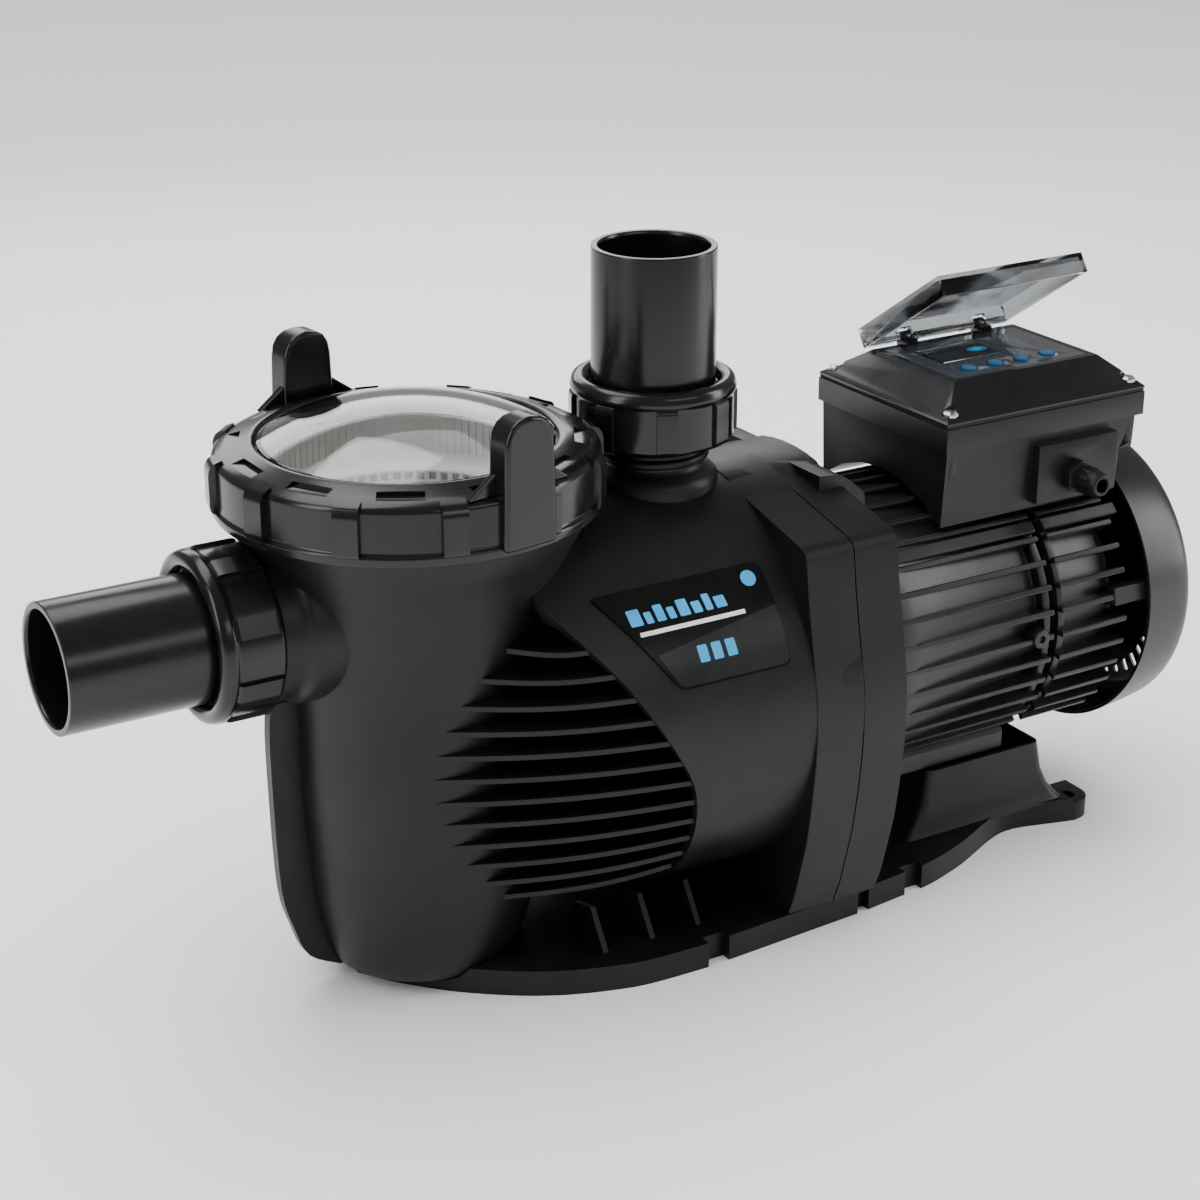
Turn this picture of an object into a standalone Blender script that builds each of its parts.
"""Swimming pool pump: strainer pot, wet end, finned motor and control box.

Each physical piece is an object of its own. Metres, +Z up, +X from the suction
end towards the motor, and y = 0 is the plane of symmetry. The origin is on the
floor under the axis of the discharge pipe.
"""

from math import asin, atan2, cos, pi, radians, sin, sqrt

import bmesh
import bpy
from mathutils import Matrix, Vector

# Clearances
GAP = 0.0003  # air between pieces that touch
RUN = 0.0006  # air round a piece that turns or slides

# Facets round a turn
COARSE = 12
ROUND = 20
WIDE = 28
BROAD = 32

# Heights of the main axes
SHAFT_Z = 0.129
SUCTION_Z = 0.200

# Strainer pot
POT_R = 0.0644
POT_WALL = 0.004
POT_FLOOR = 0.0053
POT_TOP = 0.2702
LIP_R = POT_R + 0.0255
LEDGE_Z = 0.2425
LEDGE_R = LIP_R - 0.0114
GROOVE_IN = LIP_R - 0.0092  # the lid seal's groove
GROOVE_OUT = LIP_R - 0.0036
GROOVE_DEPTH = 0.0034
KEEL_THICK = 0.006

# Lock ring and lid
RING_R = LIP_R + 0.0067
RING_LOW = 0.248
RING_SIDE_TOP = 0.274
RING_TOP = 0.281
WINDOW_R = LIP_R - 0.0186
WINDOW_WALL = 0.0035
DOME_TOP = 0.2975
GRIP_TOP = 0.313
GRIP_WIDTH = 0.030
GRIP_ANGLE = radians(98.5)

# Pipes and unions
PIPE_R = 0.0315
PIPE_WALL = 0.0038
SUCTION_LENGTH = 0.1014
DISCHARGE_LENGTH = 0.0975
SPIGOT_R = PIPE_R + 0.0045
SPIGOT_HEIGHT = 0.0125
UNION_R = SPIGOT_R + 0.0065
UNION_LENGTH = 0.0325
SEAL_THICK = 0.0034
SHOULDER_THICK = 0.006
NECK_R = PIPE_R - 0.004
NECK_BORE = NECK_R - 0.0035
POT_X = -(RING_R + UNION_R + 0.0001)  # the lock ring passes beside the discharge union
SUCTION_FACE = POT_X - POT_R - 0.0204
PIPE_SEAL_IN = SPIGOT_R - 0.007
PIPE_SEAL_OUT = SPIGOT_R - 0.0015

# Drain plugs
PLUG_BORE = 0.0085
PLUG_BOSS = 0.013
POT_PLUG_Z = 0.032
VOLUTE_PLUG_X = 0.004
VOLUTE_PLUG_DROP = 0.054

# Volute barrel, flange and seal plate
BARREL_R = 0.107
BARREL_WALL = 0.005
FLANGE_R = BARREL_R + 0.003
FLANGE_FOOT = FLANGE_R - 0.025
FLANGE_FRONT = 0.030
SEAM_X = 0.058
PLATE_BACK = 0.085
CORNER_Y = BARREL_R - 0.021
CORNER_RISE = BARREL_R - 0.023
CORNER_R = 0.005
CHAMBER_R = BARREL_R - 0.013
CHAMBER_FRONT = -0.020
CHAMBER_WALL = 0.008
DUCT_R = 0.056
DUCT_BORE = DUCT_R - 0.006
EYE_R = 0.0305
RIB_COUNT = 12
RIB_THICK = 0.0026
BOLT_R = 0.004
HOUSING_SEAL_IN = FLANGE_R - 0.0085
HOUSING_SEAL_OUT = FLANGE_R - 0.0055
HOUSING_SEAL_DEPTH = 0.002
BOLT_CIRCLE = HOUSING_SEAL_OUT + 0.00516
BOLT_ANGLE = radians(43.15)
BOLT_Y = BOLT_CIRCLE * cos(BOLT_ANGLE)
BOLT_RISE = BOLT_CIRCLE * sin(BOLT_ANGLE)
BOLT_LOW_Z = 0.040

# Base
BASE_HEIGHT = 0.014
EAR_HOLE_R = 0.0045
EAR_HOLE = (0.252, 0.051)
TOWER_TOP = 0.0495

# Motor
FRAME_R = 0.067
FRAME_WALL = 0.007
FIN_R = FRAME_R + 0.013
FIN_COUNT = 36
FIN_THICK = 0.003
FRAME_FRONT = 0.0685
FIN_FRONT = 0.112
FRAME_BACK = 0.208
GROOVE = 0.0055
SHIELD_BACK = 0.260
SHAFT_R = 0.010
BEARING_R = SHAFT_R + 0.016
BEARING_WIDTH = 0.014
CORE_FRONT = 0.110
CORE_LENGTH = 0.080
STATOR_BORE = FRAME_R - 0.029
COIL_IN = STATOR_BORE + 0.003
COIL_OUT = FRAME_R - 0.0135
COIL_SLOTS = 9
FAN_R = FRAME_R - 0.003
COVER_FRONT = 0.2716
COVER_BACK = 0.308
COVER_R = FIN_R + 0.0055
SHEET = 0.002

# Impeller
IMPELLER_R = CHAMBER_R - 0.032
IMPELLER_BACK = 0.0465
DIFFUSER_R = CHAMBER_R - 0.014

# Control box
BOX_FRONT = 0.145
BOX_BACK = 0.281
BOX_HALF = 0.057
BOX_TOP = 0.250
BOX_WALL = 0.0035
RIM_HEIGHT = 0.013
GASKET_THICK = 0.0012
LID_RISE = 0.0162
LID_FRONT_RUN = 0.0205
LID_BACK_RUN = 0.017
LID_SIDE_RUN = 0.0215
FLAP_OPEN = radians(34)
FLAP_HEIGHT = 0.0112
FLAP_LENGTH = 0.0774
FLAP_OVERHANG = 0.0025
HINGE_R = 0.003
PIN_R = 0.0012
GLAND_X = 0.232
GLAND_Z = 0.2115
GLAND_R = 0.0078
BUTTON_R = 0.0042

LID_LOW = BOX_TOP + GASKET_THICK + 2 * GAP
LID_TOP = LID_LOW + LID_RISE
TOP_FRONT = BOX_FRONT + LID_FRONT_RUN
TOP_BACK = BOX_BACK - LID_BACK_RUN
TOP_HALF = BOX_HALF - LID_SIDE_RUN
HINGE_Y = TOP_HALF + 0.0039
HINGE_Z = LID_TOP + HINGE_R
KNUCKLE = 0.008
LID_KNUCKLES = ((TOP_FRONT + TOP_BACK) / 2 - 0.030, (TOP_FRONT + TOP_BACK) / 2 + 0.022)
NECK_FOOT = SHAFT_Z + BARREL_R - 0.002
DISCHARGE_FACE = SHAFT_Z + BARREL_R + 0.022


def material(name, colour, roughness, metallic=0.0, alpha=1.0):
    """A Principled BSDF material; colour is (red, green, blue), linear."""
    look = bpy.data.materials.new(name)
    look.use_nodes = True
    shader = look.node_tree.nodes["Principled BSDF"]
    shader.inputs["Base Color"].default_value = (*colour, 1)
    shader.inputs["Roughness"].default_value = roughness
    shader.inputs["Metallic"].default_value = metallic
    shader.inputs["Alpha"].default_value = alpha
    look.diffuse_color = (*colour, alpha)
    return look


def placed(centre, axis):
    """Puts a shape made round +Z at centre, with its +Z along axis."""
    turns = {
        "Z": Matrix(),
        "X": Matrix.Rotation(pi / 2, 4, "Y"),
        "-X": Matrix.Rotation(-pi / 2, 4, "Y"),
        "Y": Matrix.Rotation(-pi / 2, 4, "X"),
        "-Y": Matrix.Rotation(pi / 2, 4, "X"),
    }
    return Matrix.Translation(centre) @ turns[axis]


def whole_turn(bm, line, steps):
    """Spins a line once round +Z and closes the seam."""
    bmesh.ops.spin(bm, geom=line, axis=(0, 0, 1), angle=2 * pi, steps=steps, use_merge=True)
    bmesh.ops.remove_doubles(bm, verts=bm.verts, dist=1e-6)
    bmesh.ops.recalc_face_normals(bm, faces=bm.faces)


def turned(profile, centre=(0, 0, 0), axis="Z", steps=ROUND):
    """A closed outline of (radius, height) points, spun round the axis."""
    bm = bmesh.new()
    corners = [bm.verts.new((radius, 0, height)) for radius, height in profile]
    sides = zip(corners, corners[1:] + corners[:1])
    edges = [bm.edges.new(pair) for pair in sides if max(v.co.x for v in pair) > 0]
    whole_turn(bm, corners + edges, steps)
    bm.transform(placed(centre, axis))
    return bm


def rod(radius, low, high, centre=(0, 0, 0), axis="Z", steps=ROUND):
    """A plain cylinder, or a prism when steps is small."""
    return turned([(0, low), (radius, low), (radius, high), (0, high)], centre, axis, steps)


def ring(inner, outer, low, high, centre=(0, 0, 0), axis="Z", steps=ROUND):
    """A tube with flat ends."""
    return turned([(inner, low), (outer, low), (outer, high), (inner, high)], centre, axis, steps)


def clear_of(radius, steps=ROUND):
    """The corner radius of a faceted bore that can turn round a rod of this radius."""
    return (radius + GAP) / cos(pi / steps)


def prism(outline, low, high, axis="Z"):
    """An outline in the plane across the axis, extruded along it."""
    bm = bmesh.new()
    corners = []
    for a, b in outline:
        spot = {"X": (low, a, b), "Y": (a, low, b), "Z": (a, b, low)}
        corners.append(bm.verts.new(spot[axis]))
    face = bm.faces.new(corners)
    grown = bmesh.ops.extrude_face_region(bm, geom=[face], use_keep_orig=True)["geom"]
    top = [item for item in grown if isinstance(item, bmesh.types.BMVert)]
    along = {"X": Vector((1, 0, 0)), "Y": Vector((0, 1, 0)), "Z": Vector((0, 0, 1))}
    bmesh.ops.translate(bm, verts=top, vec=along[axis] * (high - low))
    bmesh.ops.recalc_face_normals(bm, faces=bm.faces)
    return bm


def block(x, y, z):
    """A box between two x, two y and two z values."""
    bm = bmesh.new()
    bmesh.ops.create_cube(bm, size=1)
    low = Vector((x[0], y[0], z[0]))
    high = Vector((x[1], y[1], z[1]))
    size = high - low
    bm.transform(Matrix.Translation((low + high) / 2) @ Matrix.Diagonal((*size, 1)))
    return bm


def stacked(*levels):
    """A solid through rectangles ((x0, x1, y0, y1), z), from the lowest to the highest."""
    bm = bmesh.new()
    loops = []
    for (x0, x1, y0, y1), z in levels:
        loops.append([bm.verts.new((x, y, z)) for x, y in ((x0, y0), (x1, y0), (x1, y1), (x0, y1))])
    for lower, upper in zip(loops, loops[1:]):
        for index in range(4):
            bm.faces.new((lower[index - 1], lower[index], upper[index], upper[index - 1]))
    bm.faces.new(loops[0][::-1])
    bm.faces.new(loops[-1])
    bmesh.ops.recalc_face_normals(bm, faces=bm.faces)
    return bm


def gathered(shapes):
    """Several shapes that don't touch, as one bmesh."""
    whole = bmesh.new()
    for shape in shapes:
        piece = bpy.data.meshes.new("piece")
        shape.to_mesh(piece)
        shape.free()
        whole.from_mesh(piece)
        bpy.data.meshes.remove(piece)
    return whole


def turned_copies(make, count, centre, axis, first=0.0):
    """count copies of a shape made round +Z, spread evenly round it, then placed."""
    copies = []
    for index in range(count):
        copy = make()
        copy.transform(Matrix.Rotation(first + 2 * pi * index / count, 4, "Z"))
        copies.append(copy)
    whole = gathered(copies)
    whole.transform(placed(centre, axis))
    return whole


def add(name, bm, look, pivot=(0, 0, 0)):
    """An object from a bmesh, with its origin at pivot."""
    bm.transform(Matrix.Translation(-Vector(pivot)))
    mesh = bpy.data.meshes.new(name)
    bm.to_mesh(mesh)
    bm.free()
    mesh.shade_smooth()
    mesh.set_sharp_from_angle(angle=radians(32))
    if look:
        mesh.materials.append(look)
    obj = bpy.data.objects.new(name, mesh)
    obj.location = pivot
    bpy.context.scene.collection.objects.link(obj)
    return obj


def shape_with(target, operation, tools, solver):
    """Boolean modifiers on target, one for each tool, a bmesh or a helper object."""
    for tool in tools:
        if isinstance(tool, bmesh.types.BMesh):
            tool = add(f"{target.name}_tool_{len(target.modifiers)}", tool, None)
        tool.hide_render = True
        tool.display_type = "WIRE"
        step = target.modifiers.new(operation.title(), "BOOLEAN")
        step.operation = operation
        step.solver = solver
        step.object = tool
    return target


def join(target, *tools, solver="EXACT"):
    return shape_with(target, "UNION", tools, solver)


def cut(target, *tools, solver="EXACT"):
    return shape_with(target, "DIFFERENCE", tools, solver)


def flange_outline(low):
    """The (y, z) outline of the flange: round, with square shoulders and wings down to the base."""
    half = [(FLANGE_FOOT, low)]
    for step in range(4):
        angle = radians(-21 + step * 38 / 3)
        half.append((FLANGE_R * cos(angle), SHAFT_Z + FLANGE_R * sin(angle)))
    for step in range(3):
        angle = radians(12 + step * 30)
        y = CORNER_Y + CORNER_R * cos(angle)
        half.append((y, SHAFT_Z + CORNER_RISE + CORNER_R * sin(angle)))
    crown = FLANGE_R - 0.0015
    for step in range(3):
        angle = radians(74 + step * 16 / 3)
        half.append((crown * cos(angle), SHAFT_Z + crown * sin(angle)))
    return half + [(-y, z) for y, z in reversed(half)]


def flange_bolt_places():
    return [(side * BOLT_Y, z) for z in (SHAFT_Z + BOLT_RISE, BOLT_LOW_Z) for side in (-1, 1)]


def pot_outer_radius(z):
    """The pot's outer radius at a height, from its rounded foot to its flare."""
    levels = [(POT_FLOOR, 0.73), (0.018, 0.823), (0.045, 0.924), (0.112, 1.0)]
    for (low, first), (high, second) in zip(levels, levels[1:]):
        if z <= high:
            return POT_R * (first + (second - first) * max(0, z - low) / (high - low))
    return POT_R


POT_LEVELS = (POT_FLOOR, 0.018, 0.045, 0.112)
FLARE = ((0.178, 0.05), (0.212, 0.32), (0.232, 0.68), (0.2472, 0.98))


def pot_profile(grown=0.0):
    """The pot's outside as (radius, height) points, with its walls moved out by grown."""
    side = [(pot_outer_radius(z) + grown, z) for z in POT_LEVELS]
    side += [(POT_R + (LIP_R - POT_R) * share + grown, z) for z, share in FLARE]
    lip = [(LIP_R + grown, RING_LOW), (LIP_R + grown, POT_TOP + grown), (0, POT_TOP + grown)]
    return [(0, POT_FLOOR - grown)] + side + lip


def pot_cavity_profile():
    side = [(pot_outer_radius(z) - POT_WALL, z) for z in POT_LEVELS[1:]]
    foot = [(0, POT_FLOOR + POT_WALL + 0.001), (side[0][0] - 0.006, POT_FLOOR + POT_WALL + 0.001)]
    ledge = [(POT_R - POT_WALL, LEDGE_Z), (LEDGE_R, LEDGE_Z)]
    ledge += [(LEDGE_R, POT_TOP + 0.01), (0, POT_TOP + 0.01)]
    return foot + side + ledge


def skin_edge_x(z):
    """Where the barrel's skin ends in front, at a height: it slopes back from the pot's shoulder."""
    shoulder = POT_X + 0.0302
    drop = SHAFT_Z + BARREL_R - 0.024 - z
    if drop < 0:
        return shoulder - 2.6 * drop
    return shoulder + 0.70 * min(drop, 0.095) + 0.17 * max(0, drop - 0.095)


def rib_shape(z, side):
    """A thin level rib from the pot's flank to the edge of the barrel's skin, bowed outwards."""
    rise = z - SHAFT_Z + 0.008
    start_x = POT_X - POT_R * (0.39 - 0.60 * (rise / 0.065) ** 2)
    flank = pot_outer_radius(z) - 0.0015
    start_y = sqrt(max(0, flank**2 - (start_x - POT_X) ** 2))
    end_x = skin_edge_x(z) + 0.003
    end_y = sqrt(max(0, (BARREL_R - 0.002) ** 2 - (z - SHAFT_Z) ** 2))
    bow = 0.006
    outer = []
    for step in range(4):
        share = step / 3
        outer.append((
            start_x + (end_x - start_x) * share,
            start_y + (end_y - start_y) * share + bow * sin(pi * share),
        ))
    depth = 0.040
    points = outer + [(end_x, depth), (POT_X, depth)]
    return prism([(x, side * y) for x, y in points], z - RIB_THICK / 2, z + RIB_THICK / 2)


def drain_plug_seats():
    """The outer ends of the drain bosses on the pot and on the volute."""
    volute = sqrt(BARREL_R**2 - VOLUTE_PLUG_DROP**2) + 0.0095
    return pot_outer_radius(POT_PLUG_Z) + 0.008, volute


def ring_room():
    """The space the lock ring turns in, round the pot's lip."""
    low, high = RING_LOW - RUN, POT_TOP + 0.03
    return ring(LIP_R + GAP, RING_R + 0.004, low, high, (POT_X, 0, 0), steps=WIDE)


def make_pot(look):
    """The strainer pot with its keel, its suction neck and its drain boss."""
    axis = (POT_X, 0, 0)
    port = (SUCTION_FACE, 0, SUCTION_Z)
    pot = add("strainer_pot", turned(pot_profile(), axis, steps=WIDE), look)
    edge = [(0.0121, 0.155), (0.0156, 0.150), (0.0151, 0.107), (0.0131, 0.057), (0.0001, 0.017)]
    edge.append((-0.0164, 0.0075))
    keel = [(POT_X - POT_R - out, z) for out, z in edge] + [(POT_X, 0.0075), (POT_X, 0.155)]
    plug_end, _ = drain_plug_seats()
    join(
        pot,
        prism(keel, -KEEL_THICK / 2, KEEL_THICK / 2, "Y"),
        rod(SPIGOT_R + 0.002, SUCTION_FACE + RUN, POT_X, (0, 0, SUCTION_Z), "X"),
        rod(SPIGOT_R + 0.0055, -POT_R * 0.9, 0.0, (POT_X - POT_R * 0.35, 0, SUCTION_Z), "X"),
        rod(SPIGOT_R, -0.004, SPIGOT_HEIGHT, port, "-X"),
        rod(PLUG_BOSS, 0.030, plug_end, (POT_X, 0, POT_PLUG_Z), "Y"),
        solver="MANIFOLD",
    )
    cut(
        pot,
        turned(pot_cavity_profile(), axis, steps=WIDE),
        rod(DUCT_BORE, POT_X, CHAMBER_FRONT, (0, 0, SHAFT_Z), "X"),
        rod(PIPE_R - PIPE_WALL, 0, POT_X - SUCTION_FACE + 0.02, (POT_X, 0, SUCTION_Z), "-X"),
        ring(GROOVE_IN, GROOVE_OUT, POT_TOP - GROOVE_DEPTH, POT_TOP + 0.001, axis, steps=WIDE),
        rod(PLUG_BORE, 0.030, 0.080, (POT_X, 0, POT_PLUG_Z), "Y"),
        ring_room(),
        ring(SPIGOT_R + GAP / 2, UNION_R + 0.0015, -RUN, UNION_LENGTH, port, "-X"),
        solver="MANIFOLD",
    )


def make_housing(look):
    """The barrel behind the pot: skin, ribs, duct, volute chamber, flange and discharge neck."""
    shaft = (0, 0, SHAFT_Z)
    barrel = rod(BARREL_R, POT_X - 0.01, SEAM_X, shaft, "X", BROAD)
    housing = add("pump_housing", barrel, look)
    rises = (-BARREL_R - 0.003, -0.012, BARREL_R - 0.024, BARREL_R + 0.013)
    heights = [SHAFT_Z + rise for rise in rises]
    edge = [(skin_edge_x(z), z) for z in heights]
    chamber_wall = CHAMBER_FRONT - CHAMBER_WALL
    seal_low = SEAM_X - HOUSING_SEAL_DEPTH
    front = [(POT_X - 0.03, heights[0])] + edge + [(POT_X - 0.03, heights[-1])]
    cut(
        housing,
        prism(front, -0.12, 0.12, "Y"),
        rod(BARREL_R - BARREL_WALL, POT_X - 0.02, chamber_wall, shaft, "X", BROAD),
        solver="MANIFOLD",
    )
    top_rib, low_rib = BARREL_R - 0.048, 0.0307 - BARREL_R
    pitch = (top_rib - low_rib) / (RIB_COUNT - 1)
    stations = [SHAFT_Z + top_rib - pitch * index for index in range(RIB_COUNT)]
    ribs = gathered([rib_shape(z, side) for z in stations for side in (-1, 1)])
    volute_end = drain_plug_seats()[1]
    volute_plug = (VOLUTE_PLUG_X, 0, SHAFT_Z - VOLUTE_PLUG_DROP)
    join(
        housing,
        rod(DUCT_R, POT_X, CHAMBER_FRONT - 0.001, shaft, "X"),
        prism(flange_outline(BASE_HEIGHT + GAP), FLANGE_FRONT, SEAM_X, "X"),
        ribs,
        rod(NECK_R, SHAFT_Z, DISCHARGE_FACE + 0.002),
        rod(NECK_R + 0.006, NECK_FOOT, NECK_FOOT + 0.008),
        rod(SPIGOT_R, DISCHARGE_FACE + 0.0006, DISCHARGE_FACE + SPIGOT_HEIGHT),
        rod(PLUG_BOSS, volute_end - 0.022, volute_end, volute_plug, "Y"),
        solver="MANIFOLD",
    )
    cut(
        housing,
        turned(pot_profile(GAP), (POT_X, 0, 0), steps=WIDE),
        rod(DUCT_BORE, POT_X, chamber_wall, shaft, "X"),
        rod(EYE_R, chamber_wall - 0.002, CHAMBER_FRONT + 0.002, shaft, "X"),
        rod(CHAMBER_R, CHAMBER_FRONT, SEAM_X + 0.01, shaft, "X", BROAD),
        rod(NECK_BORE, SHAFT_Z + 0.05, DISCHARGE_FACE + 0.03),
        rod(PLUG_BORE, 0.060, 0.120, volute_plug, "Y"),
        ring(HOUSING_SEAL_IN, HOUSING_SEAL_OUT, seal_low, SEAM_X + 0.001, shaft, "X", WIDE),
        gathered([
            rod(BOLT_R + GAP, SEAM_X - 0.024, SEAM_X + 0.002, (0, y, z), "X", COARSE)
            for y, z in flange_bolt_places()
        ]),
        ring_room(),
        solver="MANIFOLD",
    )


def make_seal_plate(look):
    low = BASE_HEIGHT + GAP
    plate = add("seal_plate", prism(flange_outline(low), SEAM_X + GAP, PLATE_BACK, "X"), look)
    edge = ((0.080, -0.022), (0.0995, -0.022), (0.0995, -0.013), (0.084, -0.0025), (0.080, -0.0025))
    hood = [(x, SHAFT_Z + BARREL_R + rise) for x, rise in edge]
    join(plate, prism(hood, -0.050, 0.050, "Y"), solver="MANIFOLD")
    holes = [rod(BOLT_R + GAP, 0.05, 0.09, (0, y, z), "X", COARSE) for y, z in flange_bolt_places()]
    cut(
        plate,
        rod(0.020, 0, 0.1, (SEAM_X - 0.01, 0, SHAFT_Z), "X"),
        rod(FRAME_R + 0.002 + GAP, 0, 0.1, (SEAM_X + 0.0083, 0, SHAFT_Z), "X", WIDE),
        gathered(holes),
        block((0.068, 0.09), (-0.060, 0.060), (0.004, 0.055)),
        solver="MANIFOLD",
    )


def union_grip():
    return block((UNION_R - 0.004, UNION_R), (-0.005, 0.005), (0.002, UNION_LENGTH - 0.0055))


def make_unions(black, rubber):
    """A union nut, a pipe tail and a seal on each port, measured outwards from the nut's foot."""
    seal_low = SPIGOT_HEIGHT + GAP
    shoulder_low = seal_low + SEAL_THICK + GAP
    shoulder_high = shoulder_low + SHOULDER_THICK
    bore = PIPE_R - PIPE_WALL
    ports = (
        ("suction", (SUCTION_FACE, 0, SUCTION_Z), "-X", SUCTION_LENGTH),
        ("discharge", (0, 0, DISCHARGE_FACE), "Z", DISCHARGE_LENGTH),
    )
    for name, centre, axis, length in ports:
        tail = [(bore, shoulder_low), (SPIGOT_R - GAP, shoulder_low), (SPIGOT_R - GAP, shoulder_high)]
        tail += [(PIPE_R, shoulder_high), (PIPE_R, length), (bore, length)]
        add(f"{name}_pipe", turned(tail, centre, axis), black)
        seal = ring(PIPE_SEAL_IN, PIPE_SEAL_OUT, seal_low, seal_low + SEAL_THICK, centre, axis)
        add(f"{name}_seal", seal, rubber)
        lip = shoulder_high + GAP
        wide, narrow = clear_of(SPIGOT_R), clear_of(PIPE_R)
        nut = [(wide, 0), (UNION_R - 0.0015, 0), (UNION_R - 0.0015, UNION_LENGTH - 0.004)]
        nut += [(UNION_R - 0.005, UNION_LENGTH), (narrow, UNION_LENGTH), (narrow, lip), (wide, lip)]
        body = add(f"{name}_nut", turned(nut, centre, axis), black, centre)
        join(body, turned_copies(union_grip, 8, centre, axis, radians(22.5)))


def make_base(look):
    half = [
        (-0.178, 0.004), (-0.1645, 0.0245), (-0.1465, 0.0446), (-0.131, 0.058), (-0.1145, 0.0697),
        (-0.097, 0.079), (-0.0768, 0.0863), (-0.0568, 0.0909), (-0.022, 0.0924), (-0.022, 0.086),
        (-0.009, 0.086), (-0.009, 0.0912), (0.0768, 0.0865), (0.0768, 0.081), (0.0843, 0.081),
        (0.0843, 0.0859), (0.111, 0.0828), (0.111, 0.077), (0.123, 0.077), (0.123, 0.0818),
        (0.136, 0.0790), (0.161, 0.0705), (0.193, 0.0560), (0.211, 0.0525), (0.2346, 0.0585),
        (0.249, 0.0624), (0.258, 0.0610), (0.2635, 0.0540), (0.2640, 0.0430),
    ]
    ends = [(x, -y) for x, y in half]
    base = add("base_foot", prism(half + list(reversed(ends)), 0, BASE_HEIGHT), look)
    foot = [(pot_outer_radius(z) + 2 * GAP, z - GAP) for z in POT_LEVELS[:3]]
    nest = [(0, POT_FLOOR - GAP)] + foot + [(0, POT_LEVELS[2] - GAP)]
    ear_x, ear_y = EAR_HOLE
    sides = (-1, 1)
    outer = stacked(
        ((0.128, 0.246, -0.057, 0.057), BASE_HEIGHT - 0.001),
        ((0.150, 0.230, -0.050, 0.050), TOWER_TOP),
    )
    floor, brim = BASE_HEIGHT + 0.003, TOWER_TOP + 0.0005
    inner = stacked(((0.133, 0.242, -0.053, 0.053), floor), ((0.153, 0.227, -0.047, 0.047), brim))
    tower = cut(add("tower", outer, None), inner)
    rib_x = (-0.072, -0.044, -0.016)
    rib_z = (0.010, SHAFT_Z - BARREL_R + 0.003)
    ribs = [
        block((x - 0.0015, x + 0.0015), sorted((side * 0.045, side * 0.072)), rib_z)
        for x in rib_x for side in sides
    ]
    cut(
        base,
        turned(nest, (POT_X, 0, 0), steps=WIDE),
        block((0.247, 0.30), (-0.1, 0.1), (0.011, 0.03)),
        block((0.2405, 0.30), (-0.036, 0.036), (-0.01, 0.03)),
        gathered([rod(EAR_HOLE_R, -0.01, 0.03, (ear_x, side * ear_y, 0), steps=16) for side in sides]),
        gathered([
            block(span, sorted((side * 0.008, side * 0.066)), (-0.01, BASE_HEIGHT - 0.004))
            for span in ((-0.072, -0.032), (0.020, 0.064), (0.072, 0.112)) for side in sides
        ]),
    )
    join(
        base,
        tower,
        block((0.176, 0.204), (-0.012, 0.012), (0.010, TOWER_TOP + 0.0002)),
        gathered(ribs),
    )


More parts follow.
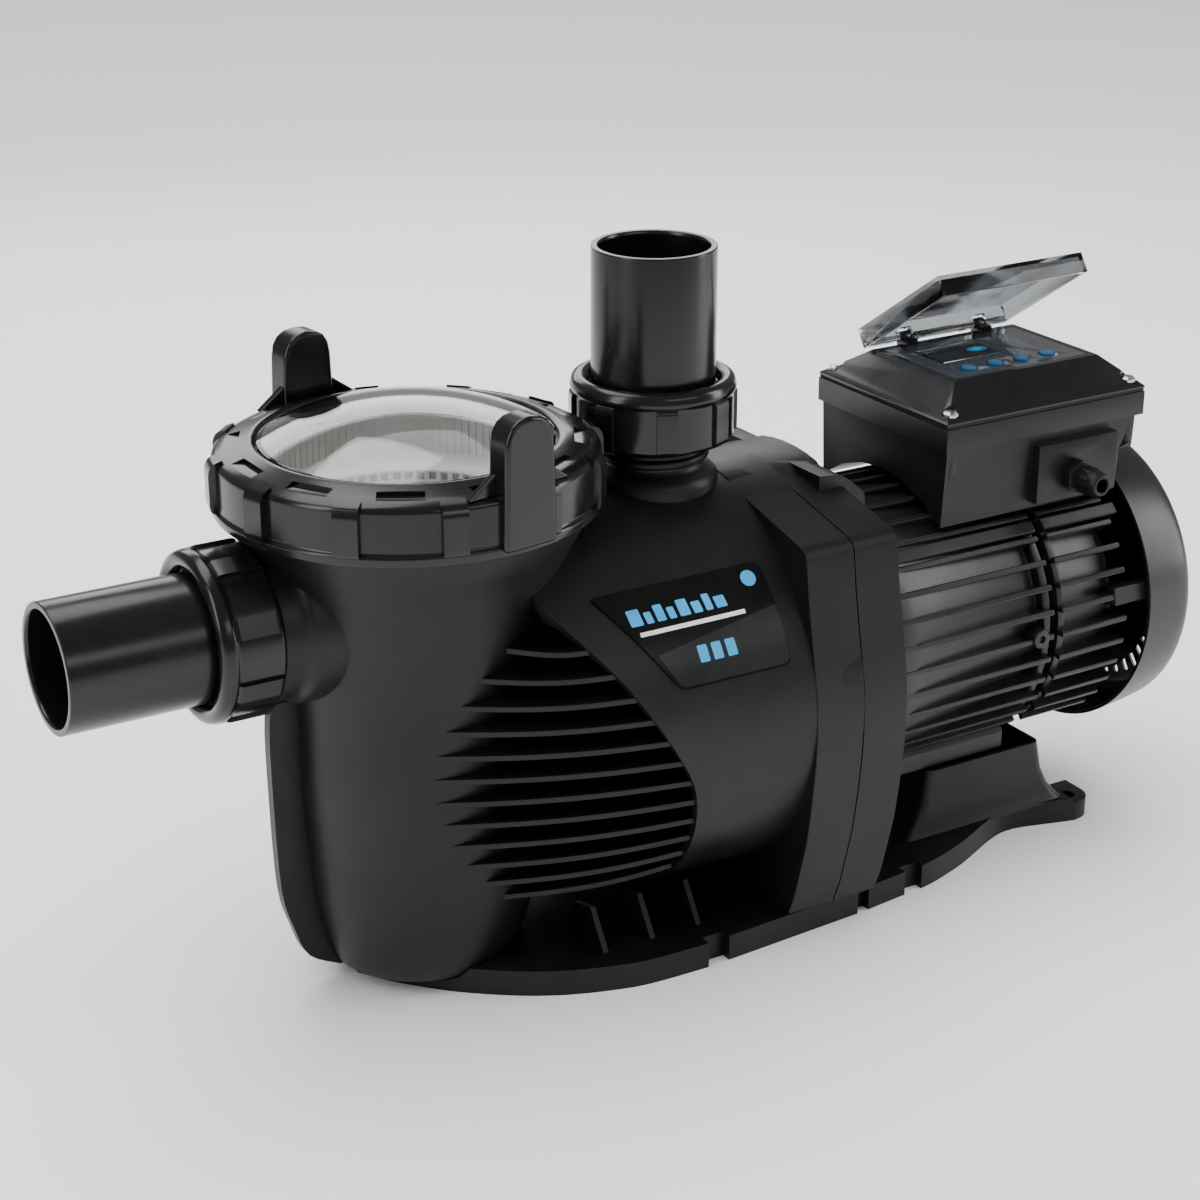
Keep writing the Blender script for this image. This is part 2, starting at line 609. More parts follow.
def make_strainer(black, clear, rubber, basket_look):
    axis = (POT_X, 0, 0)
    flange_low = POT_TOP + GAP
    flange_top = flange_low + 0.0043
    ring_low = flange_top + GAP
    side = RING_R - 0.0014
    profile = [
        (LIP_R + RUN, RING_LOW), (side, RING_LOW), (side, RING_SIDE_TOP), (side - 0.004, RING_TOP - 0.003),
        (WINDOW_R + RUN, RING_TOP), (WINDOW_R + RUN, ring_low), (LIP_R + RUN, ring_low),
    ]
    lock = add("lock_ring", turned(profile, axis, steps=WIDE), black, axis)
    half = GRIP_WIDTH / 2
    crown = GRIP_TOP - half * 0.9
    tab = [(-half, RING_LOW + 0.003), (half, RING_LOW + 0.003)]
    for step in range(7):
        angle = pi * step / 6
        tab.append((half * 0.9 * cos(angle), crown + half * 0.9 * sin(angle)))

    def grip():
        return prism(tab, RING_R - 0.0145, RING_R + 0.0008, "X")

    def pad():
        return block((RING_R - 0.006, RING_R), (-0.0055, 0.0055), (RING_LOW + 0.005, RING_SIDE_TOP - 0.001))

    grips = turned_copies(grip, 2, axis, "Z", GRIP_ANGLE)
    join(lock, grips, turned_copies(pad, 12, axis, "Z", GRIP_ANGLE + pi / 12))
    cut(lock, rod(LIP_R + RUN, RING_LOW - 0.01, ring_low, axis, steps=WIDE))

    rise = DOME_TOP - RING_TOP
    sphere_r = (WINDOW_R**2 + rise**2) / (2 * rise)
    arc = asin(WINDOW_R / sphere_r)
    inner_r = sphere_r - WINDOW_WALL
    centre_z = DOME_TOP - sphere_r
    inner_arc = asin((WINDOW_R - WINDOW_WALL) / inner_r)
    rim = LIP_R - 0.0015
    window = [(0, DOME_TOP - WINDOW_WALL)]
    for turn in (inner_arc / 2, inner_arc):
        window.append((inner_r * sin(turn), centre_z + inner_r * cos(turn)))
    window += [(WINDOW_R - WINDOW_WALL, flange_low), (rim, flange_low), (rim, flange_top)]
    window.append((WINDOW_R, flange_top))
    for turn in (arc, arc * 2 / 3, arc / 3):
        window.append((sphere_r * sin(turn), centre_z + sphere_r * cos(turn)))
    window.append((0, DOME_TOP))
    add("lid_window", turned(window, axis, steps=WIDE), clear, axis)
    seal_low = POT_TOP - GROOVE_DEPTH + GAP
    seal = ring(GROOVE_IN + GAP, GROOVE_OUT - GAP, seal_low, POT_TOP, axis, steps=WIDE)
    add("lid_seal", seal, rubber, axis)

    wall = 0.002
    top_r = POT_R - POT_WALL - 0.0012 - wall
    low_r = pot_outer_radius(0.045) - POT_WALL - 0.0040
    bands = ((0.046, 0.134), (0.142, 0.230))
    rows = [(0.010, 0.038), (low_r - 0.006, 0.038), (low_r, 0.043)]
    rows += [(low_r + (top_r - low_r) * z / LEDGE_Z, z) for band in bands for z in band]
    rows += [(top_r, LEDGE_Z + 0.0005 + wall), (LEDGE_R - 0.002, LEDGE_Z + 0.0005 + wall)]
    bm = slotted_sheet(rows, WIDE, bands, "z")
    bm.transform(Matrix.Translation(axis))
    basket = add("strainer_basket", bm, basket_look)
    shell = basket.modifiers.new("Wall", "SOLIDIFY")
    shell.thickness = wall
    shell.offset = 1


def distance_out(face):
    """How far a face lies from the axis it was turned round."""
    return face.calc_center_median().xy.length


def slotted_sheet(rows, steps, bands, across):
    """(radius, height) points turned into a sheet, with every other facet open in each band.

    A band is a low and a high value of across, "z" for the height or "r" for the radius. The
    small hole round the axis is filled, and the sheet faces away from the axis.
    """
    bm = bmesh.new()
    corners = [bm.verts.new((radius, 0, height)) for radius, height in rows]
    edges = [bm.edges.new(pair) for pair in zip(corners, corners[1:])]
    whole_turn(bm, corners + edges, steps)
    slots = []
    for face in bm.faces:
        middle = face.calc_center_median()
        column = round(atan2(middle.y, middle.x) * steps / (2 * pi) - 0.5)
        place = middle.z if across == "z" else middle.xy.length
        in_band = any(low < place < high for low, high in bands)
        if in_band and column % 2 == 0:
            slots.append(face)
    bmesh.ops.delete(bm, geom=slots, context="FACES")
    reach = min(radius for radius, _ in rows) + 0.0005
    rim = [edge for edge in bm.edges if edge.is_boundary and edge.verts[0].co.xy.length < reach]
    bmesh.ops.contextual_create(bm, geom=rim)
    bmesh.ops.recalc_face_normals(bm, faces=bm.faces)
    widest = max(bm.faces, key=distance_out)
    if widest.normal.xy.dot(widest.calc_center_median().xy) < 0:
        bmesh.ops.reverse_faces(bm, faces=bm.faces)
    return bm


def vane_outline(inner, outer, sweep, thick, steps=2):
    """A curved blade from one radius to another, in the plane across the shaft."""
    near, far = [], []
    for step in range(steps + 1):
        share = step / steps
        radius = inner + (outer - inner) * share
        half = thick / 2 / radius
        for points, offset in ((near, -half), (far, half)):
            angle = sweep * share + offset
            points.append((radius * cos(angle), radius * sin(angle)))
    return near + far[::-1]


def make_wet_parts(plastic, brass, ceramic, rubber):
    shaft_axis = (0, 0, SHAFT_Z)
    diffuser = [
        (EYE_R - 0.0005, CHAMBER_FRONT + GAP), (EYE_R + 0.003, CHAMBER_FRONT + GAP),
        (EYE_R + 0.003, 0.0200), (DIFFUSER_R, 0.0200), (DIFFUSER_R, 0.0228), (EYE_R - 0.0005, 0.0228),
    ]
    body = add("diffuser", turned(diffuser, shaft_axis, "X", WIDE), plastic)

    def guide():
        outline = vane_outline(IMPELLER_R + 0.0035, DIFFUSER_R - 0.0005, radians(22), 0.0025)
        return prism(outline, 0.0220, SEAM_X - GAP)

    join(body, turned_copies(guide, 8, shaft_axis, "X"))
    front = [(0.0260, 0.010), (EYE_R - 0.0015, 0.010), (EYE_R - 0.0015, 0.0250), (IMPELLER_R, 0.0290)]
    front += [(IMPELLER_R, 0.0312), (0.0260, 0.0272)]
    impeller = add("impeller", turned(front, shaft_axis, "X"), plastic, shaft_axis)
    hub = [(SHAFT_R + GAP, 0.0300), (0.018, 0.0300), (0.020, 0.0440), (IMPELLER_R, 0.0440)]
    hub += [(IMPELLER_R, IMPELLER_BACK), (SHAFT_R + GAP, IMPELLER_BACK)]

    def blade():
        return prism(vane_outline(0.0165, IMPELLER_R - 0.0003, radians(-70), 0.003), 0.0268, 0.0450)

    swept = add("impeller_blades", turned_copies(blade, 5, shaft_axis, "X"), None)
    lead = [(0, 0.020), (0.0262, 0.0268), (IMPELLER_R + 0.001, 0.0302)]
    lead += [(IMPELLER_R + 0.001, 0.010), (0, 0.010)]
    cut(swept, turned(lead, shaft_axis, "X"))
    join(impeller, turned(hub, shaft_axis, "X"), swept)
    nut = add("impeller_nut", rod(0.0120, 0.0205, 0.0297, shaft_axis, "X", 6), brass, shaft_axis)
    cut(nut, rod(0.0063, 0.010, 0.040, shaft_axis, "X", COARSE))
    spring = [(SHAFT_R + GAP, IMPELLER_BACK + GAP), (0.0165, IMPELLER_BACK + GAP)]
    spring += [(0.0175, 0.0540), (0.0150, 0.0572), (SHAFT_R + GAP, 0.0572)]
    add("seal_rotor", turned(spring, shaft_axis, "X"), ceramic, shaft_axis)
    seat = ring(SHAFT_R + 0.0012, 0.0197, 0.0576, SEAM_X + 0.0083, shaft_axis, "X")
    add("seal_seat", seat, ceramic)
    inner, outer = HOUSING_SEAL_IN + 0.0002, HOUSING_SEAL_OUT - 0.0002
    low = SEAM_X - HOUSING_SEAL_DEPTH + 0.0002
    add("housing_gasket", ring(inner, outer, low, SEAM_X, shaft_axis, "X", WIDE), rubber)


def fin_outline(root, tip):
    """A toothed ring outline: fins of one thickness spread evenly round the frame."""
    points = []
    half = FIN_THICK / 2
    for index in range(FIN_COUNT):
        angle = 2 * pi * (index + 0.5) / FIN_COUNT
        out = Vector((cos(angle), sin(angle)))
        across = Vector((-sin(angle), cos(angle)))
        foot, crest = half * 1.3, half * 0.8
        for radius, offset in ((root, -foot), (tip, -crest), (tip, crest), (root, foot)):
            point = out * radius + across * offset
            points.append((point.x, point.y))
    return points


def finned(name, low, high, pedestal):
    """A ring of fins, clear of the control box's foot above and of the base below."""
    fins = prism(fin_outline(FRAME_R, FIN_R), low, high)
    fins.transform(placed((0, 0, SHAFT_Z), "X"))
    helper = add(name, fins, None)
    return cut(
        helper,
        rod(FRAME_R - FRAME_WALL / 2, low - 0.01, high + 0.01, (0, 0, SHAFT_Z), "X", WIDE),
        block(pedestal, (-0.0275, 0.0275), (SHAFT_Z + 0.02, SHAFT_Z + 0.1)),
        block((low - 0.01, high + 0.01), (-0.05, 0.05), (SHAFT_Z - 0.1, TOWER_TOP + 0.0008)),
    )


def make_motor(paint, steel, copper, black):
    axis = (0, 0, SHAFT_Z)
    inner = FRAME_R - FRAME_WALL
    core_r = FRAME_R - 0.002
    wall_back = FRAME_FRONT + 0.006
    boss = BEARING_R + 0.005
    bore = SHAFT_R + 0.002
    seat = wall_back + BEARING_WIDTH + 0.002
    shell = [
        (bore, FRAME_FRONT), (FRAME_R + 0.002, FRAME_FRONT), (FRAME_R + 0.002, FIN_FRONT + 0.001),
        (core_r, FIN_FRONT + 0.001), (core_r, FRAME_BACK), (inner, FRAME_BACK), (inner, wall_back),
        (boss, wall_back), (boss, seat), (BEARING_R + GAP, seat), (BEARING_R + GAP, wall_back),
        (bore, wall_back),
    ]
    frame = add("motor_frame", turned(shell, axis, "X", WIDE), paint)
    foot_top = SHAFT_Z - sqrt((FRAME_R - 0.001) ** 2 - 0.046**2)
    pedestal = (0.1795, 0.2505)
    join(
        frame,
        finned("frame_fins", FIN_FRONT, FRAME_BACK, pedestal),
        block((FIN_FRONT + 0.001, FRAME_BACK - 0.003), (-0.046, 0.046), (TOWER_TOP + 0.0005, foot_top)),
        block((PLATE_BACK + GAP, FIN_FRONT + 0.002), (-0.040, 0.040), (TOWER_TOP + 0.0005, SHAFT_Z - 0.060)),
    )
    cut(
        frame,
        rod(inner, wall_back + 0.02, FRAME_BACK + 0.01, axis, "X", WIDE),
        rod(0.006, 0.0, 0.08, (0.193, 0, SHAFT_Z + 0.02), steps=COARSE),
    )
    back_low = FRAME_BACK + GROOVE
    wall_low = SHIELD_BACK - 0.006
    seat_low = wall_low - BEARING_WIDTH - 0.002
    shield = [
        (bore, wall_low), (BEARING_R + GAP, wall_low), (BEARING_R + GAP, seat_low), (boss, seat_low),
        (boss, wall_low), (inner, wall_low), (inner, FRAME_BACK + GAP), (core_r, FRAME_BACK + GAP),
        (core_r, SHIELD_BACK), (bore, SHIELD_BACK),
    ]
    rear = add("rear_shield", turned(shield, axis, "X", WIDE), paint)

    def lug():
        reach = (FRAME_R - 0.0008, COVER_R - SHEET - 0.0022)
        return block(reach, (-0.005, 0.005), (SHIELD_BACK - 0.010, COVER_FRONT + 0.008))

    join(
        rear,
        finned("shield_fins", back_low, SHIELD_BACK, pedestal),
        turned_copies(lug, 3, axis, "X", radians(20)),
    )
    seats = (("front_bearing", wall_back + GAP), ("rear_bearing", wall_low - BEARING_WIDTH - GAP))
    for name, low in seats:
        bearing = ring(clear_of(SHAFT_R), BEARING_R, low, low + BEARING_WIDTH, axis, "X")
        add(name, bearing, steel)
    make_windings(steel, copper, inner, axis)
    make_fan(black, axis)
    make_fan_cover(paint, axis)


def make_windings(steel, copper, inner, axis):
    """The stator's core and coils inside the frame, and the rotor on its shaft."""

    core_back = CORE_FRONT + CORE_LENGTH
    bar_in, bar_out, bar_half = COIL_IN + 0.0020, COIL_OUT - 0.0021, 0.0030

    def slot():
        reach = (bar_in - GAP, bar_out + GAP)
        half = bar_half + GAP
        return block(reach, (-half, half), (CORE_FRONT - 0.01, core_back + 0.01))

    def bar():
        return block((bar_in, bar_out), (-bar_half, bar_half), (CORE_FRONT - 0.004, core_back + 0.004))

    laminations = ring(STATOR_BORE, inner - GAP, CORE_FRONT, core_back, axis, "X", WIDE)
    core = add("stator_core", laminations, steel)
    cut(core, turned_copies(slot, COIL_SLOTS, axis, "X"))
    front_coil = ring(COIL_IN, COIL_OUT, CORE_FRONT - 0.012, CORE_FRONT - GAP, axis, "X")
    winding = add("stator_winding", front_coil, copper)
    join(
        winding,
        turned_copies(bar, COIL_SLOTS, axis, "X"),
        ring(COIL_IN, COIL_OUT, core_back + GAP, core_back + 0.012, axis, "X"),
    )
    shaft = [(0, 0.018), (0.0060, 0.018), (0.0060, 0.0298), (SHAFT_R, 0.0298), (SHAFT_R, 0.296)]
    shaft.append((0, 0.296))
    add("motor_shaft", turned(shaft, axis, "X"), steel, axis)
    rotor = ring(SHAFT_R + GAP, STATOR_BORE - RUN, CORE_FRONT, core_back, axis, "X")
    add("rotor_core", rotor, steel, axis)


def make_fan(black, axis):
    """A hub, six blades and a back plate."""
    hub_r = SHAFT_R + 0.007

    def blade():
        return block((hub_r - 0.001, FAN_R), (-0.001, 0.001), (0.2790, 0.2935))

    fan = add("cooling_fan", ring(SHAFT_R + GAP, hub_r, 0.2760, 0.2950, axis, "X"), black, axis)
    plate = ring(hub_r - 0.0005, FAN_R, 0.2925, 0.2945, axis, "X")
    join(fan, turned_copies(blade, 6, axis, "X"), plate)


def make_fan_cover(paint, axis):
    """A pressed cover: a tapered side, a rounded edge and a flat back with slots."""
    drop = 0.012
    rows = [(COVER_R, COVER_FRONT), (COVER_R - 0.0025, COVER_BACK - 0.010)]
    rows += [(COVER_R - 0.006, COVER_BACK - 0.003), (COVER_R - drop, COVER_BACK)]
    rows += [(radius, COVER_BACK) for radius in (0.062, 0.051, 0.046, 0.035, 0.012)]
    bm = slotted_sheet(rows, ROUND, ((0.051, 0.062), (0.035, 0.046)), "r")
    bm.transform(placed(axis, "X"))
    cover = add("fan_cover", bm, paint)
    shell = cover.modifiers.new("Sheet", "SOLIDIFY")
    shell.thickness = SHEET
    shell.offset = -1


def box_outline(inset, arch_r):
    """The (y, z) outline of the control box: drafted sides and an arched underside."""
    foot = BOX_HALF - 0.0045 - inset
    foot_z = SHAFT_Z + sqrt(arch_r**2 - foot**2)
    top = BOX_TOP + (0.002 if inset else 0)
    brow = BOX_HALF - 0.002 - inset
    sides = [(foot, foot_z), (brow, BOX_TOP - RIM_HEIGHT), (brow, top)]
    arch = []
    for step in range(7):
        y = -foot + 2 * foot * step / 6
        arch.append((y, SHAFT_Z + sqrt(arch_r**2 - y**2)))
    return sides + [(-y, z) for y, z in reversed(sides[1:])] + arch[:-1]


def screw_places():
    inset = 0.0068
    stations = (BOX_FRONT + inset, BOX_BACK - inset)
    return [(x, side * (BOX_HALF - inset)) for x in stations for side in (-1, 1)]


def screw_rods(radius, low, high, steps=COARSE):
    """A rod at each corner screw of the box."""
    return gathered([rod(radius, low, high, (x, y, 0), steps=steps) for x, y in screw_places()])


def make_control_box(plastic, clear, rubber, board_look, steel, film, key):
    body_back = BOX_BACK - 0.004
    arch_r = FIN_R + 0.004
    body_front = BOX_FRONT + 0.002
    box = add("control_box", prism(box_outline(0, arch_r), body_front, body_back, "X"), plastic)
    rim_z = (BOX_TOP - RIM_HEIGHT, BOX_TOP)
    pad = block(
        (GLAND_X - 0.026, GLAND_X + 0.029),
        (-BOX_HALF - 0.003, -BOX_HALF + 0.010),
        (GLAND_Z - 0.0125, GLAND_Z + 0.020),
    )
    join(
        box,
        block((BOX_FRONT, BOX_BACK), (-BOX_HALF, BOX_HALF), rim_z),
        pad,
        block((0.180, 0.250), (-0.0265, 0.0265), (SHAFT_Z + 0.055, SHAFT_Z + arch_r + 0.003)),
    )
    inner_half = BOX_HALF - BOX_WALL - 0.002
    hollow = box_outline(BOX_WALL - 0.002, arch_r + 0.003)
    cut(
        box,
        prism(hollow, body_front + BOX_WALL, body_back - BOX_WALL, "X"),
        rod(FRAME_R + GAP, 0.17, 0.26, (0, 0, SHAFT_Z), "X", BROAD),
        block((COVER_FRONT - 0.0036, 0.29), (-0.09, 0.09), (SHAFT_Z, SHAFT_Z + COVER_R + 0.004)),
        rod(0.0075, 0.0, 0.05, (0.193, 0, SHAFT_Z + 0.05), steps=COARSE),
        rod(GLAND_R + GAP, BOX_HALF - 0.017, BOX_HALF + 0.013, (GLAND_X, 0, GLAND_Z), "-Y"),
    )
    join(box, screw_rods(0.0048, BOX_TOP - 0.028, BOX_TOP))
    cut(box, screw_rods(0.0018, BOX_TOP - 0.02, BOX_TOP + 0.01, 8))

    seal_low = BOX_TOP + GAP
    brim = BOX_HALF - 0.0005
    sheet = block((BOX_FRONT + 0.0005, BOX_BACK - 0.0005), (-brim, brim), (seal_low, seal_low + GASKET_THICK))
    seal = add("box_gasket", sheet, rubber)
    well = inner_half - 0.001
    cut(
        seal,
        block((BOX_FRONT + 0.006, BOX_BACK - 0.008), (-well, well), (BOX_TOP, BOX_TOP + 0.01)),
        screw_rods(0.0050, BOX_TOP - 0.01, BOX_TOP + 0.01),
    )
    make_box_lid(plastic, steel, film, key, clear)

    sheet = block((0.156, 0.266), (-0.043, 0.043), (SHAFT_Z + 0.0905, SHAFT_Z + 0.0921))
    board = add("drive_board", sheet, board_look)
    board_top = SHAFT_Z + 0.0915
    join(
        board,
        block((0.162, 0.190), (-0.030, 0.002), (board_top, board_top + 0.018)),
        rod(0.009, board_top, board_top + 0.020, (0.206, -0.026, 0), steps=COARSE),
        rod(0.009, board_top, board_top + 0.020, (0.228, -0.026, 0), steps=COARSE),
        block((0.200, 0.236), (0.008, 0.032), (board_top, board_top + 0.009)),
    )
    make_gland(plastic, rubber)


def shrunk(rectangle, inset):
    """An (x0, x1, y0, y1) rectangle with every side moved in by inset."""
    x0, x1, y0, y1 = rectangle
    return (x0 + inset, x1 - inset, y0 + inset, y1 - inset)


def widened(ends):
    """A low and a high value, each moved out by the gap between touching pieces."""
    return (ends[0] - GAP, ends[1] + GAP)


def make_box_lid(plastic, steel, film, key, clear):
    foot = (BOX_FRONT, BOX_BACK, -BOX_HALF + 0.0005, BOX_HALF - 0.0005)
    top = (TOP_FRONT, TOP_BACK, -TOP_HALF, TOP_HALF)
    wall = 0.0028
    lid = add("box_lid", stacked((foot, LID_LOW), (foot, LID_LOW + 0.0012), (top, LID_TOP)), plastic)
    hollow_foot = shrunk(foot, 0.008)
    hollow_top = shrunk(top, wall)
    hinge = (0, HINGE_Y, HINGE_Z)
    lugs = []
    barrels = []
    pin_holes = []
    for x in LID_KNUCKLES:
        lugs.append(block((x, x + KNUCKLE), (TOP_HALF - 0.006, HINGE_Y), (LID_TOP - 0.009, HINGE_Z)))
        barrels.append(rod(HINGE_R, x - 0.0001, x + KNUCKLE + 0.0001, hinge, "X", COARSE))
        pin_holes.append(rod(PIN_R + 0.0002, x - 0.01, x + KNUCKLE + 0.01, hinge, "X", COARSE))
    join(lid, gathered(lugs), gathered(barrels), solver="MANIFOLD")
    panel_x = (TOP_FRONT + 0.004, TOP_BACK - 0.004)
    panel_y = (-TOP_HALF + 0.004, TOP_HALF - 0.005)
    panel_z = (LID_TOP - 0.0011, LID_TOP)
    window_x = (panel_x[0] + 0.012, panel_x[0] + 0.052)
    window_y = (-0.006, 0.018)
    button_y = -0.020
    buttons = [panel_x[0] + 0.018 + 0.018 * index for index in range(4)]
    through = (LID_TOP - 0.01, LID_TOP + 0.01)

    def key_holes():
        return gathered([rod(BUTTON_R + RUN, *through, (x, button_y, 0), steps=COARSE) for x in buttons])

    def window_hole():
        return block(widened(window_x), widened(window_y), through)

    cut(
        lid,
        stacked((hollow_foot, LID_LOW - 0.001), (hollow_top, LID_TOP - wall)),
        block(widened(panel_x), widened(panel_y), (panel_z[0] - GAP, LID_TOP + 0.01)),
        window_hole(),
        key_holes(),
        gathered(pin_holes),
        screw_rods(0.0046, LID_LOW + 0.003, LID_LOW + 0.02, 8),
        screw_rods(0.0019, LID_LOW - 0.01, LID_LOW + 0.01, 8),
        solver="MANIFOLD",
    )
    for index, (x, y) in enumerate(screw_places(), 1):
        head = LID_LOW + 0.003 + GAP
        profile = [(0, BOX_TOP - 0.015), (0.0015, BOX_TOP - 0.015), (0.0015, head), (0.0040, head)]
        profile += [(0.0040, head + 0.0015), (0.0028, head + 0.0028), (0, head + 0.0028)]
        add(f"lid_screw_{index}", turned(profile, (x, y, 0), steps=8), steel)
    panel = add("control_panel", block(panel_x, panel_y, panel_z), film)
    cut(panel, window_hole(), key_holes())
    add("display_window", block(window_x, window_y, (LID_TOP - 0.0025, LID_TOP + 0.0004)), clear)
    for index, x in enumerate(buttons, 1):
        centre = (x, button_y, LID_TOP)
        add(f"panel_button_{index}", rod(BUTTON_R, -0.0035, 0.0012, centre, steps=COARSE), key, centre)
    make_flap(steel, clear)


def make_flap(steel, clear):
    """A clear flap with a turned-down skirt, hinged on a pin at the lid's far edge and stored open."""
    flap_knuckles = (LID_KNUCKLES[0] + KNUCKLE + 0.0005, LID_KNUCKLES[1] - KNUCKLE - 0.0005)
    pivot = Vector((0, HINGE_Y, HINGE_Z))
    flap_low = LID_TOP + 0.0008
    flap_x = (TOP_FRONT - FLAP_OVERHANG, TOP_BACK - 0.0025)
    flap_y = (HINGE_Y + HINGE_R - FLAP_LENGTH - HINGE_R, HINGE_Y + HINGE_R)
    flap = add("panel_flap", block(flap_x, flap_y, (flap_low, flap_low + FLAP_HEIGHT)), clear, pivot)
    thin = 0.002
    hollow = block(
        (flap_x[0] + thin, flap_x[1] - thin),
        (flap_y[0] + thin, HINGE_Y - 0.0035),
        (flap_low - 0.01, flap_low + FLAP_HEIGHT - thin),
    )
    relief_y = (HINGE_Y - 0.0042, HINGE_Y + 0.02)
    relief_z = (flap_low - 0.01, HINGE_Z + 0.0042)
    reliefs = [block((x - RUN, x + KNUCKLE + RUN), relief_y, relief_z) for x in LID_KNUCKLES]
    knuckles = [rod(HINGE_R, x, x + KNUCKLE, pivot, "X", COARSE) for x in flap_knuckles]
    pin_hole = rod(PIN_R + 0.0002, flap_x[0] - 0.01, flap_x[1] + 0.01, pivot, "X", COARSE)
    tools = ((cut, hollow), (cut, gathered(reliefs)), (join, gathered(knuckles)), (cut, pin_hole))
    for action, tool in tools:
        tool.transform(Matrix.Translation(-pivot))
        helper = add(f"flap_tool_{len(flap.modifiers)}", tool, None)
        helper.parent = flap
        action(flap, helper)
    flap.rotation_euler.x = -FLAP_OPEN
    pin = rod(PIN_R, LID_KNUCKLES[0] - 0.001, LID_KNUCKLES[1] + KNUCKLE + 0.001, pivot, "X", COARSE)
    add("flap_pin", pin, steel)


def make_gland(plastic, rubber):
    """A cable gland on the near side, its opening empty; heights run outwards from the plane of symmetry."""
    face = BOX_HALF + 0.003
    centre = (GLAND_X, 0, GLAND_Z)
    bore = 0.0045
    hex_r = 0.0120
    hex_top = face + GAP + 0.0055
    thread_top = hex_top + 0.0085
    stem = GLAND_R - GAP
    body = [(bore, face - 0.012), (stem, face - 0.012), (stem, thread_top), (bore, thread_top)]
    gland = add("gland_body", turned(body, centre, "-Y", 16), plastic)
    join(gland, ring(GLAND_R - 0.002, hex_r, face + GAP, hex_top, centre, "-Y", 6))
    seal_top = thread_top + GAP + 0.004
    add("gland_seal", ring(bore, GLAND_R - 0.0008, thread_top + GAP, seal_top, centre, "-Y", 16), rubber)
    nose = seal_top + 0.0035
    nut = [
        (GLAND_R + GAP, hex_top + GAP), (0.0108, hex_top + GAP), (0.0108, thread_top - 0.001),
        (0.0098, seal_top - 0.001), (0.0078, nose), (0.0050, nose), (0.0050, seal_top + GAP),
        (GLAND_R + GAP, seal_top + GAP),
    ]
    add("gland_nut", turned(nut, centre, "-Y", 16), plastic, (GLAND_X, -hex_top, GLAND_Z))


def make_fasteners(steel, plastic, rubber):
    for index, (y, z) in enumerate(flange_bolt_places(), 1):
        centre = (0, y, z)
        low, head = SEAM_X - 0.022, PLATE_BACK + GAP
        bolt = add(f"flange_bolt_{index}", rod(BOLT_R, low, head + 0.002, centre, "X", COARSE), steel)
        washer = rod(0.0085, head, head + 0.0016, centre, "X", COARSE)
        join(bolt, washer, rod(0.0072, head + 0.001, head + 0.0065, centre, "X", 6))
    pot_face, volute_face = drain_plug_seats()
    plugs = (
        ("pot", (POT_X, 0, POT_PLUG_Z), pot_face, 0.0135),
        ("volute", (VOLUTE_PLUG_X, 0, SHAFT_Z - VOLUTE_PLUG_DROP), volute_face, 0.024),
    )
    for name, centre, face, depth in plugs:
        seal_top = face + GAP + 0.0022
        add(f"{name}_plug_seal", ring(0.0086, 0.0120, face + GAP, seal_top, centre, "Y", 16), rubber)
        head = seal_top + GAP
        plug = rod(0.0081, face - depth + 0.004, head + 0.001, centre, "Y", 16)
        body = add(f"{name}_drain_plug", plug, plastic, (centre[0], head, centre[2]))
        x, _, z = centre
        wing = block((x - 0.010, x + 0.010), (head + 0.001, head + 0.0075), (z - 0.0025, z + 0.0025))
        join(body, rod(0.0118, head, head + 0.0024, centre, "Y", 16), wing)


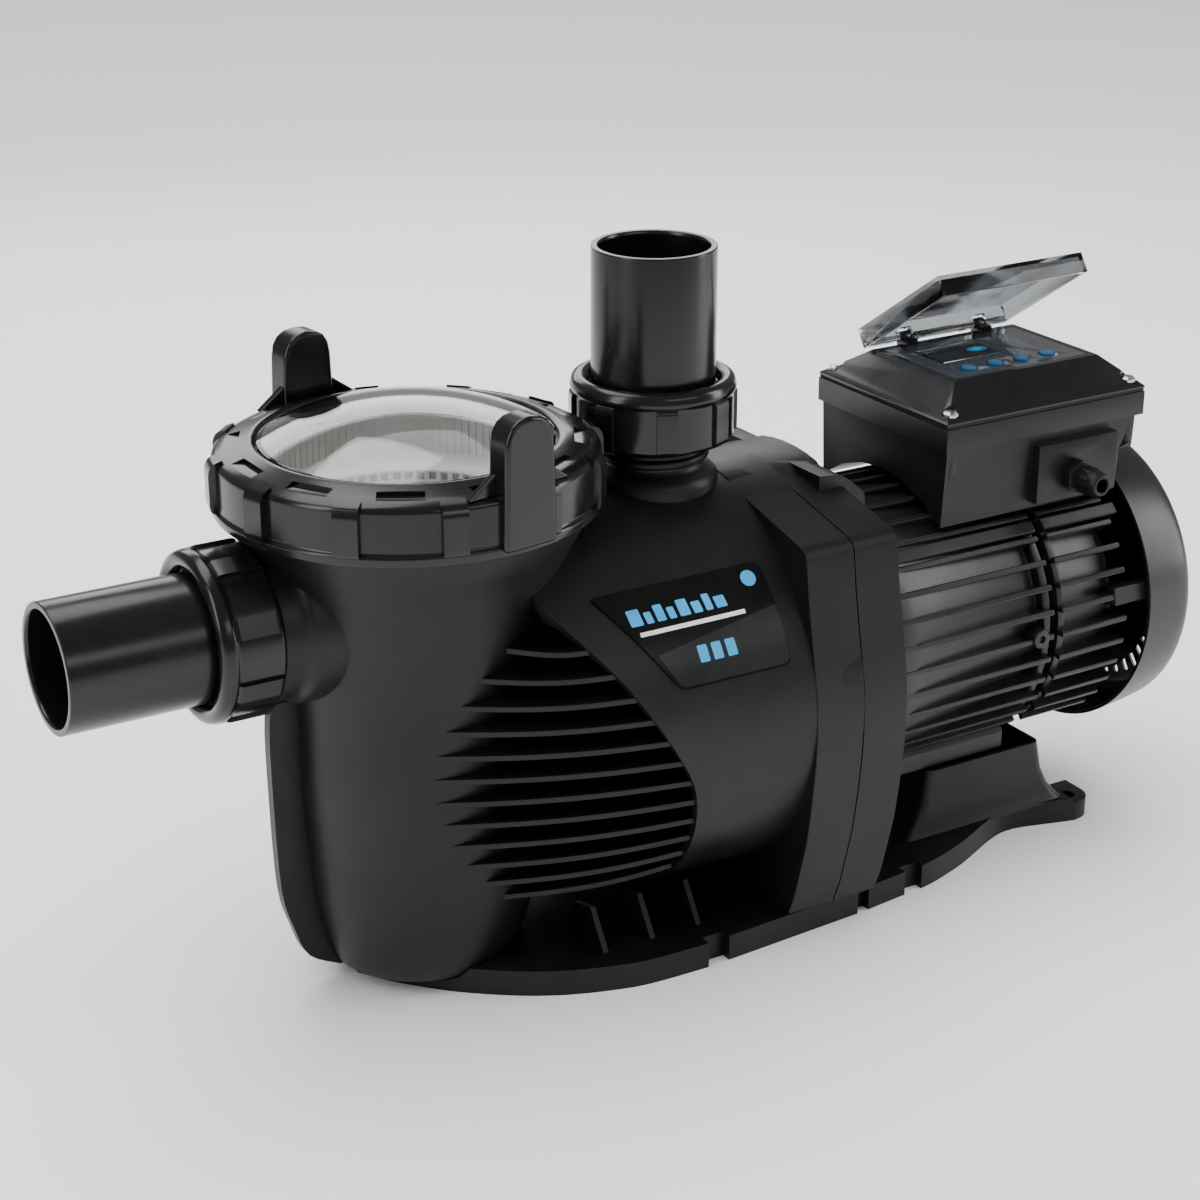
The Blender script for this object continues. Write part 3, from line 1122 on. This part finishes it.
def make_label(look):
    """A thin badge wrapped on the barrel's near side, slanted in front."""
    rows, columns = 6, 4
    bm = bmesh.new()
    grid = []
    radius = BARREL_R + GAP
    for row in range(rows + 1):
        angle = radians(47.5 - 28 * row / rows)
        left = -0.080 + 0.034 * row / rows
        right = 0.0155
        line = []
        for column in range(columns + 1):
            x = left + (right - left) * column / columns
            line.append(bm.verts.new((x, -radius * cos(angle), SHAFT_Z + radius * sin(angle))))
        grid.append(line)
    for upper, lower in zip(grid, grid[1:]):
        for column in range(columns):
            bm.faces.new((upper[column], lower[column], lower[column + 1], upper[column + 1]))
    bmesh.ops.recalc_face_normals(bm, faces=bm.faces)
    bm.faces.ensure_lookup_table()
    if bm.faces[0].normal.y > 0:
        bmesh.ops.reverse_faces(bm, faces=bm.faces)
    label = add("label_plate", bm, look)
    sheet = label.modifiers.new("Sheet", "SOLIDIFY")
    sheet.thickness = 0.0008
    sheet.offset = 1


def main():
    for obj in list(bpy.data.objects):
        bpy.data.objects.remove(obj, do_unlink=True)
    satin = material("satin_black_polymer", (0.016, 0.016, 0.017), 0.45)
    gloss = material("gloss_black_polymer", (0.012, 0.012, 0.013), 0.22)
    rubber = material("black_rubber", (0.010, 0.010, 0.010), 0.75)
    paint = material("dark_grey_paint", (0.050, 0.053, 0.057), 0.38, 0.6)
    steel = material("zinc_plated_steel", (0.55, 0.56, 0.58), 0.30, 1.0)
    copper = material("enamelled_copper", (0.55, 0.22, 0.09), 0.35, 1.0)
    brass = material("brass", (0.65, 0.45, 0.16), 0.30, 1.0)
    ceramic = material("grey_ceramic", (0.35, 0.35, 0.36), 0.25)
    clear = material("clear_polycarbonate", (0.80, 0.82, 0.84), 0.05, 0.0, 0.3)
    white = material("off_white_polymer", (0.75, 0.74, 0.68), 0.45)
    circuit = material("green_board", (0.02, 0.15, 0.06), 0.40)
    film = material("slate_film", (0.03, 0.033, 0.040), 0.25)
    key = material("blue_rubber_key", (0.02, 0.16, 0.32), 0.40)
    make_pot(satin)
    make_housing(satin)
    make_seal_plate(satin)
    make_unions(gloss, rubber)
    make_base(satin)
    make_strainer(gloss, clear, rubber, white)
    make_wet_parts(gloss, brass, ceramic, rubber)
    make_motor(paint, steel, copper, gloss)
    make_control_box(satin, clear, rubber, circuit, steel, film, key)
    make_fasteners(steel, gloss, rubber)
    make_label(film)


main()
